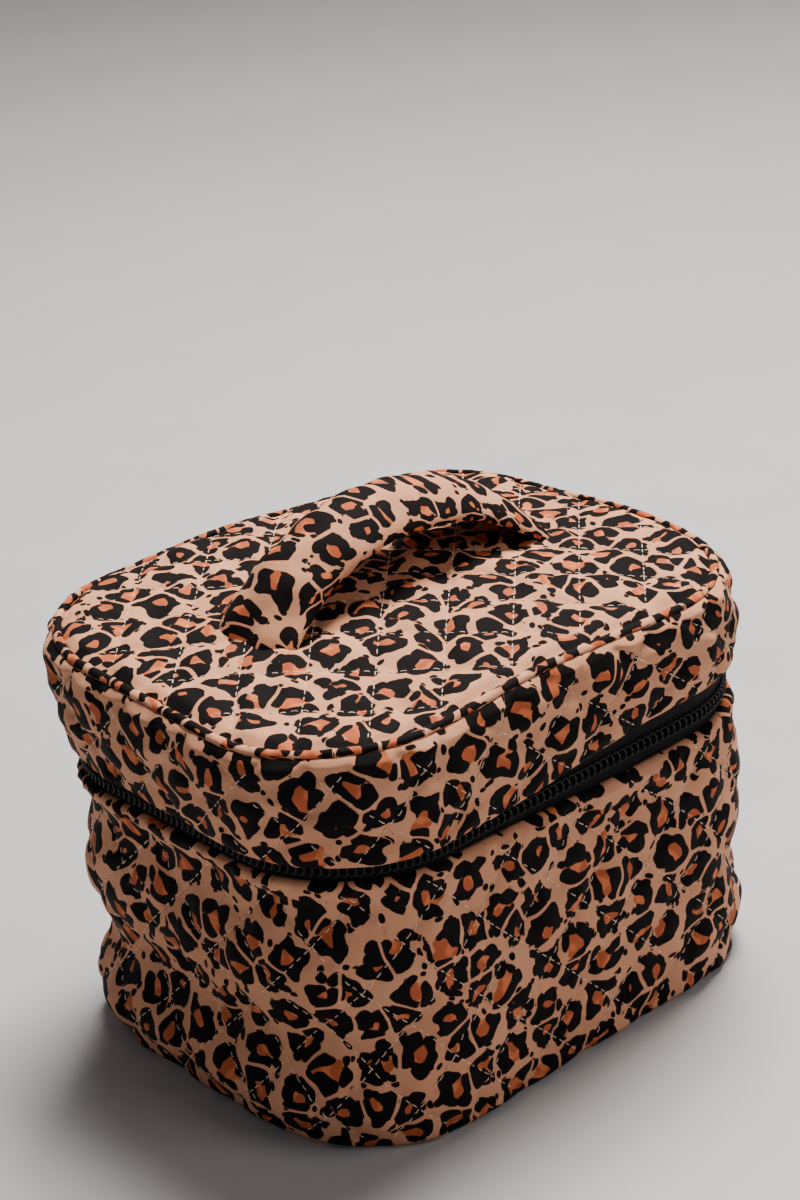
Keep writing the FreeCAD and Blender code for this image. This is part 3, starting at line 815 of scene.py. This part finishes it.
def bindings():
    for name, node_name, body, warp in (
        ("mouth_binding", "base_rim_binding", "base", warp_body),
        ("lid_mouth_binding", "lid_rim_binding", "lid", warp_lid),
    ):
        low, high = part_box(node_name)
        inset = SHELL + 0.0012
        piece = layer(name, inset, LINED + LINING + 0.0006 - inset, low[2], high[2], warp, step=0.002)
        finish_piece(piece, body, "binding", [node_name])


bindings()


# -------- zipper

TEETH_PITCH = 0.0034
TAPE_THICK = 0.0008
TAPE_ROWS = 12
ZIP_LENGTH = PERIMETER - 2 * HINGE_HALF


def zip_columns(step):
    return np.linspace(HINGE_HALF, PERIMETER - HINGE_HALF, int(ZIP_LENGTH / step))[None, :]


def tape(name, node_name, body, warp):
    low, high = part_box(node_name)
    s = zip_columns(0.0015)
    z = column(there_and_back(low[2], high[2], TAPE_ROWS)) + 0 * s
    insets = column(two_faces(HALF_X - high[0], TAPE_THICK, TAPE_ROWS)) + 0.00015 * ripple(s, 0 * s, 0.02, 3)
    piece = close_ends(swept(name, s, np.ones_like(insets), insets, z, warp, close_ring=False))
    finish_piece(piece, body, "zipper_tape", [node_name])


tape("lower_tape", "zipper_tape_lower", "base", warp_body)
tape("upper_tape", "zipper_tape_upper", "lid", warp_lid)


def coil(name, node_name, body, way, phase):
    """One row of nylon coil: a flattened helix whose heads reach just past the zip line."""
    turns = int(ZIP_LENGTH / TEETH_PITCH)
    per_turn = 14
    count = turns * per_turn
    t = np.arange(count) / per_turn + phase
    lean = 0.22 * np.sin(2 * math.pi * t)
    s = HINGE_HALF + (t + lean) * TEETH_PITCH + 0.002
    s = np.clip(s, HINGE_HALF, PERIMETER - HINGE_HALF)
    reach = 0.0016
    root = ZIP_LINE + way * 0.0026
    z = root - way * reach * (1 - np.cos(2 * math.pi * t)) * 0.92
    out = 0.0006 * np.sin(2 * math.pi * t)
    inset = SHELL - 0.0009 - out
    x, y = outline(s, inset)
    path = np.stack([lean_in(x, z), y, z], axis=-1)[None]
    head = 0.5 * (1 - np.cos(2 * math.pi * t))
    radius = 0.00050 + 0.00014 * head ** 3
    piece = tubes(name, path, (0.0, 0.0, 1.0), radius[None], sides=6)
    finish_piece(piece, body, "zipper_coil", [node_name])


coil("lower_coil", "zipper_coil_lower", "base", -1, 0.0)
coil("upper_coil", "zipper_coil_upper", "lid", 1, 0.5)

for side in ("front", "rear"):
    for part in ("slider", "pull"):
        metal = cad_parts[f"zipper_{part}_{side}"]
        metal.data.materials.clear()
        metal.data.materials.append(MATERIALS["slider_metal"])


def hinge_strip():
    """The print cloth across the back, where the zipper stops."""
    low, high = HINGE
    columns_count = 90
    rows = 16
    x = np.linspace(low[0], high[0], columns_count)[None, :]
    up = np.linspace(low[2] - 0.002, high[2] + 0.002, rows)
    outer = high[1] - 0.0004 + 0.0005 * np.sin(np.linspace(0, math.pi, rows))
    y = np.concatenate([outer, outer[::-1] - 0.0012])
    z = np.concatenate([up, up[::-1]])
    ripple_out = 0.0004 * ripple(x, column(z), 0.012, 17)
    points = np.stack(np.broadcast_arrays(x, column(y) + ripple_out, column(z)), axis=-1)
    corner_rows, corner_columns, faces = grid_faces(len(z), columns_count, True, False)
    uv = np.stack([x[0, corner_columns], z[np.mod(corner_rows, len(z))]], axis=-1)[:, ::-1]
    piece = close_ends(make_object("hinge_cloth", points, faces[:, ::-1].tolist(), uv))
    finish_piece(piece, None, "hinge_fabric", ["hinge_strip"])
    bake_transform(piece)


hinge_strip()


# -------- carry strap

STRAP_HALF_SPAN = 0.0745
STRAP_RISE = 0.0300
STRAP_HALF_WIDE = (STRAP_HIGH[1] - STRAP_LOW[1]) / 2
STRAP_HALF_THICK = 0.0056
STRAP_DROOP = 0.0065     # how far its long edges hang below its middle
STRAP_PRINT = 1.25       # the strap's cloth has a slightly smaller print


def strap_line(t):
    """Centre of the strap for t from -1 to 1: steep at its sewn ends, nearly flat on top."""
    x = STRAP_HALF_SPAN * np.sign(t) * (1 - (1 - np.abs(t)) ** 1.18) + 0.003 * smooth(t)
    z = LID_TOP - 0.004 + (STRAP_RISE + 0.004) * (1 - np.abs(t) ** 2.35)
    return x, z


def strap_frame(t):
    """The strap's centre and its upward normal, for a column of t."""
    x, z = strap_line(t)
    slope_x, slope_z = (np.gradient(item[:, 0])[:, None] for item in (x, z))
    size = np.hypot(slope_x, slope_z)
    return x, z, -slope_z / size, slope_x / size


def signed_power(value, power):
    return np.sign(value) * np.abs(value) ** power


def strap_section(t, turn):
    """Half width and half thickness offsets of the padded section, pinched and puckered at the ends."""
    near_end = smooth((np.abs(t) - 0.62) / 0.38)
    wide = STRAP_HALF_WIDE * (1.02 + 0.20 * near_end)
    thick = STRAP_HALF_THICK * (1 - 0.38 * near_end)
    across = wide * signed_power(np.cos(turn), 0.72)
    lift = thick * signed_power(np.sin(turn), 0.9)
    droop = STRAP_DROOP * (1 - 0.75 * near_end) * (across / STRAP_HALF_WIDE) ** 2
    folds = 0.0011 * near_end * np.cos(7 * turn + 1.3 * t) * signed_power(np.sin(turn), 0.5)
    return across, lift + folds - droop


def carry_strap():
    count = 150
    sides = 56
    t = np.linspace(-1, 1, count)[:, None]
    turn = np.linspace(0, 2 * math.pi, sides, endpoint=False)[None, :]
    x, z, normal_x, normal_z = strap_frame(t)
    across, lift = strap_section(t, turn)
    lift = lift + 0.0008 * ripple(t * 0.08, across, 0.022, 51) * np.sin(turn)
    px = x + normal_x * lift
    py = across + 0.002 + 0.003 * t + 0.0012 * ripple(t * 0.08, 0 * turn, 0.06, 53)
    pz = z + normal_z * lift
    px, py, pz = warp_lid(px, py, pz)
    points = np.stack([px, py, pz], axis=-1)
    corner_rows, corner_columns, faces = grid_faces(count, sides, False, True)
    distance = np.concatenate([[0], np.cumsum(np.hypot(np.diff(x[:, 0]), np.diff(z[:, 0])))])
    girth = 2 * (STRAP_HALF_WIDE * 2 + STRAP_HALF_THICK) / sides
    uv = STRAP_PRINT * np.stack([distance[corner_rows], corner_columns * girth], axis=-1)
    faces = faces.tolist()
    uv = uv.reshape(-1, 2).tolist()
    for row, order in ((0, 1), (count - 1, -1)):
        cap = [row * sides + c for c in range(sides)][::order]
        faces.append(cap)
        uv.extend([(distance[row], 0.0)] * sides)
    piece = make_object("carry_strap", points, faces, uv)
    finish_piece(piece, "lid", "strap_fabric", ["strap_cover"])


carry_strap()


def strap_inside():
    """The foam and webbing core that follows the cover, and the patches its ends are sewn to."""
    count = 70
    sides = 28
    t = np.linspace(-0.97, 0.97, count)[:, None]
    turn = np.linspace(0, 2 * math.pi, sides, endpoint=False)[None, :]
    x, z, normal_x, normal_z = strap_frame(t)
    across = strap_section(t, turn)[0]
    thick = 0.0016 * signed_power(np.sin(turn), 0.5)
    lift = thick - STRAP_DROOP * (0.62 * across / STRAP_HALF_WIDE) ** 2
    place = warp_lid(x + normal_x * lift, 0.66 * across, z + normal_z * lift)
    points = np.stack(place, axis=-1)
    faces = grid_faces(count, sides, False, True)[2]
    piece = close_ends(make_object("strap_core_visual", points, faces.tolist()))
    finish_piece(piece, "lid", "webbing", ["strap_core"])
    patches = [strap_patch(side) for side in (-1, 1)]
    finish_piece(join("strap_patch_visual", patches), "lid", "webbing", ["strap_patches"])


def strap_patch(side):
    """One stitched patch under a strap end, a thin square on the lid board."""
    low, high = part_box("strap_patches")
    half = (high[1] - low[1]) / 2
    length = min(high[0] - STRAP_HALF_SPAN + 0.002, half) * 2
    work = cut_cube(1.0, 8)
    for vertex in work.verts:
        x = side * (high[0] - length / 2) + vertex.co.x * length
        y = vertex.co.y * 2 * half
        z = (low[2] + high[2]) / 2 + vertex.co.z * (high[2] - low[2]) * 0.9
        vertex.co = Vector([float(value) for value in warp_lid(x, y, z)])
    return put_mesh("strap_patch", work)


strap_inside()


# -------- inside

def padded_board(name, node_name, thin_axis):
    """A foam divider: puffed faces and rounded edges."""
    low, high = (np.array(item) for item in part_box(node_name))
    half = (high - low) / 2
    centre = (high + low) / 2
    work = cut_cube(2.0, 30)
    others = [axis for axis in range(3) if axis != thin_axis]
    for vertex in work.verts:
        unit = np.array(vertex.co)
        near = [(1 - abs(unit[axis])) * half[axis] for axis in others]
        edge = min(near)
        thick = half[thin_axis] * (0.55 + 0.45 * min(edge / 0.004, 1.0) ** 0.5)
        place = unit * half
        place[thin_axis] = unit[thin_axis] * thick
        dent = float(ripple(place[others[0]], place[others[1]], 0.03, 61))
        place[thin_axis] += 0.0003 * dent * unit[thin_axis]
        vertex.co = Vector(place + centre)
    piece = put_mesh(name, work)
    bend_mesh(piece.data, warp_body)
    piece.data.polygons.foreach_set("use_smooth", [True] * len(piece.data.polygons))
    finish_piece(piece, "base", "divider_fabric", [node_name])


padded_board("long_divider", "divider_long", 1)
padded_board("left_divider", "divider_cross_left", 0)
padded_board("right_divider", "divider_cross_right", 0)


def cut_up(mesh, planes):
    """Cuts a mesh along planes, one list of places per axis, so that it can bend."""
    work = bmesh.new()
    work.from_mesh(mesh)
    bmesh.ops.remove_doubles(work, verts=work.verts, dist=1e-6)
    for axis, places in planes.items():
        direction = Vector([float(item == axis) for item in range(3)])
        for place in places:
            bmesh.ops.bisect_plane(work, geom=work.verts[:] + work.edges[:] + work.faces[:],
                                   plane_co=direction * float(place), plane_no=direction)
    cloth = work.loops.layers.uv.get("print") or work.loops.layers.uv.new("print")
    for face in work.faces:
        for loop in face.loops:
            loop[cloth].uv = (loop.vert.co.x, loop.vert.co.y)
    work.to_mesh(mesh)
    work.free()


def hook_tabs():
    piece = put("hook_tabs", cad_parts["divider_hook_tabs"].data.copy())
    cut_up(piece.data, {2: np.arange(0.008, 0.090, 0.006)})
    bend_mesh(piece.data, warp_body)
    finish_piece(piece, "base", "hook_tape", ["divider_hook_tabs"])


hook_tabs()


def mesh_pocket():
    """The pocket under the lid: a stretched mesh sheet that bags a little, and its bound frame."""
    places = np.arange(-0.085, 0.0851, 0.010)
    for name, node_name, material, bagging in (
        ("pocket_mesh", "lid_pocket_mesh", "mesh", 0.0025),
        ("pocket_binding", "lid_pocket_binding", "binding", 0.0),
    ):
        low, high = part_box(node_name)

        def hang(x, y, z):
            bag = (1 - (x / high[0]) ** 2) * (1 - (y / high[1]) ** 2)
            bent_x, bent_y, bent_z = warp_lid(x, y, z)
            return bent_x, bent_y, bent_z - bagging * np.clip(bag, 0, 1)

        piece = put(name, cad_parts[node_name].data.copy())
        cut_up(piece.data, {0: places, 1: places})
        bend_mesh(piece.data, hang)
        finish_piece(piece, "lid", material, [node_name])


mesh_pocket()


# -------- stitches

STITCH = 0.0030
STITCH_GAP = 0.0013
THREAD = 0.00023


def stitches(name, start, finish, surface, body):
    """Short thread loops between start and finish points (n, 2) on a surface given by two coordinates."""
    start = np.asarray(start)[:, None, :]
    finish = np.asarray(finish)[:, None, :]
    share = np.array([0.0, 0.2, 0.5, 0.8, 1.0])[None, :, None]
    flat = start + (finish - start) * share
    lift = np.array([-0.0003, 0.00022, 0.00034, 0.00022, -0.0003])[None, :]
    paths = surface(flat[..., 0], flat[..., 1], lift)
    little = 0.0004
    along_a = surface(flat[..., 0] + little, flat[..., 1], lift) - paths
    along_b = surface(flat[..., 0], flat[..., 1] + little, lift) - paths
    normal = np.cross(along_a, along_b)
    normal /= np.linalg.norm(normal, axis=-1, keepdims=True) + NOTHING
    finish_piece(tubes(name, paths, normal, THREAD), body, "thread")


def quilting_lines(a_low, a_high, b_low, b_high, keep, seed):
    """Start and end of every stitch along both families of quilting lines over a patch of cloth."""
    random = np.random.default_rng(seed)
    starts = []
    ends = []
    for way in (1, -1):
        low = min(a_low + way * b_low, a_low + way * b_high)
        high = max(a_high + way * b_low, a_high + way * b_high)
        for line in range(math.ceil(low / DIAGONAL), math.floor(high / DIAGONAL) + 1):
            constant = line * DIAGONAL
            b = b_low + random.uniform(0, 0.002)
            while b < b_high:
                rise = STITCH / math.sqrt(2) * random.uniform(0.85, 1.12)
                first = (constant - way * b, b)
                last = (constant - way * (b + rise), b + rise)
                b += rise + STITCH_GAP / math.sqrt(2) * random.uniform(0.7, 1.4)
                if keep(*first) and keep(*last):
                    starts.append(first)
                    ends.append(last)
    return np.array(starts), np.array(ends)


def wall_surface(s, z, lift):
    x, y = outline(s, -wall_height(s, z) - lift)
    return np.stack(warp_body(x, y, z), axis=-1)


def band_surface(s, z, lift):
    x, y = outline(s, -band_height(s, z) - lift)
    return np.stack(warp_lid(x, y, z), axis=-1)


def top_surface(x, y, lift):
    x, y, z = warp_lid(x, y, LID_TOP + panel_edge(x, y) + lift)
    return np.stack([x, y, z], axis=-1)


def all_stitches():
    band_high = BAND_TOP - LID_BOTTOM

    def on_wall(s, z):
        return 0 <= s < PERIMETER and z < BODY_TOP - 0.0025

    def on_band(s, z):
        return 0 <= s < PERIMETER and 0.003 < z < band_high - 0.002

    starts, ends = quilting_lines(0, PERIMETER, 0.005, BODY_TOP - 0.0025, on_wall, 71)
    stitches("wall_stitches", starts, ends, wall_surface, "base")
    starts, ends = quilting_lines(0, PERIMETER, 0.0, band_high, on_band, 72)
    starts[:, 1] += LID_BOTTOM
    ends[:, 1] += LID_BOTTOM
    stitches("band_stitches", starts, ends, band_surface, "lid")

    def on_top(x, y):
        clear = max(abs(x) - 0.070, abs(y) - 0.017) > 0 or abs(x) < 0.052
        return inside_by(np.array(x), np.array(y)) > PANEL_INSET + 0.004 and clear

    starts, ends = quilting_lines(-HALF_X, HALF_X, -HALF_Y, HALF_Y, on_top, 73)
    stitches("top_stitches", starts, ends, top_surface, "lid")


all_stitches()


# -------- floor, light and camera

def studio():
    bpy.ops.mesh.primitive_plane_add(size=6.0, location=(0, 0, 0))
    floor = bpy.context.object
    floor.name = "floor"
    material, tree, shader = new_material("pale_floor", Roughness=0.45)
    tone = noise(tree, space_place(tree, 15.0), detail=4.0)
    paint(tree, shader, tone, grey(0.45), grey(0.50))
    floor.data.materials.append(material)
    world = bpy.context.scene.world or bpy.data.worlds.new("world")
    bpy.context.scene.world = world
    world.use_nodes = True
    background = world.node_tree.nodes["Background"]
    background.inputs["Color"].default_value = (0.80, 0.82, 0.84, 1)
    background.inputs["Strength"].default_value = 0.14
    for name, place, size, power in (
        ("key", (0.70, 0.30, 1.9), 0.9, 110.0),
        ("fill", (-1.6, -1.2, 1.1), 1.6, 2.0),
        ("front", (0.9, -1.9, 1.6), 1.3, 15.0),
    ):
        lamp = bpy.data.lights.new(name, "AREA")
        lamp.energy = power
        lamp.size = size
        lamp.color = (1.0, 0.945, 0.885)
        holder = put(name, lamp)
        holder.location = place
        towards = Vector((0, 0, 0.1)) - Vector(place)
        holder.rotation_euler = towards.to_track_quat("-Z", "Y").to_euler()


def camera():
    """Looks down at the front left corner, slightly rolled, from about a metre away."""
    azimuth = math.radians(-39.5)
    elevation = math.radians(24.0)
    roll = math.radians(-5.2)
    distance = 1.10
    target = Vector((0.045, 0.048, 0.1418))
    back = Vector((math.sin(azimuth) * math.cos(elevation), -math.cos(azimuth) * math.cos(elevation),
                   math.sin(elevation)))
    right = Vector((math.cos(azimuth), math.sin(azimuth), 0))
    up = back.cross(right)
    turned_right = right * math.cos(roll) + up * math.sin(roll)
    turned_up = up * math.cos(roll) - right * math.sin(roll)
    data = bpy.data.cameras.new("camera")
    data.lens = 77.8
    data.sensor_width = 36.0
    data.clip_start = 0.05
    holder = put("camera", data)
    place = target + back * distance
    holder.matrix_world = Matrix((
        (turned_right.x, turned_up.x, back.x, place.x),
        (turned_right.y, turned_up.y, back.y, place.y),
        (turned_right.z, turned_up.z, back.z, place.z),
        (0, 0, 0, 1),
    ))
    bpy.context.scene.camera = holder


studio()
camera()
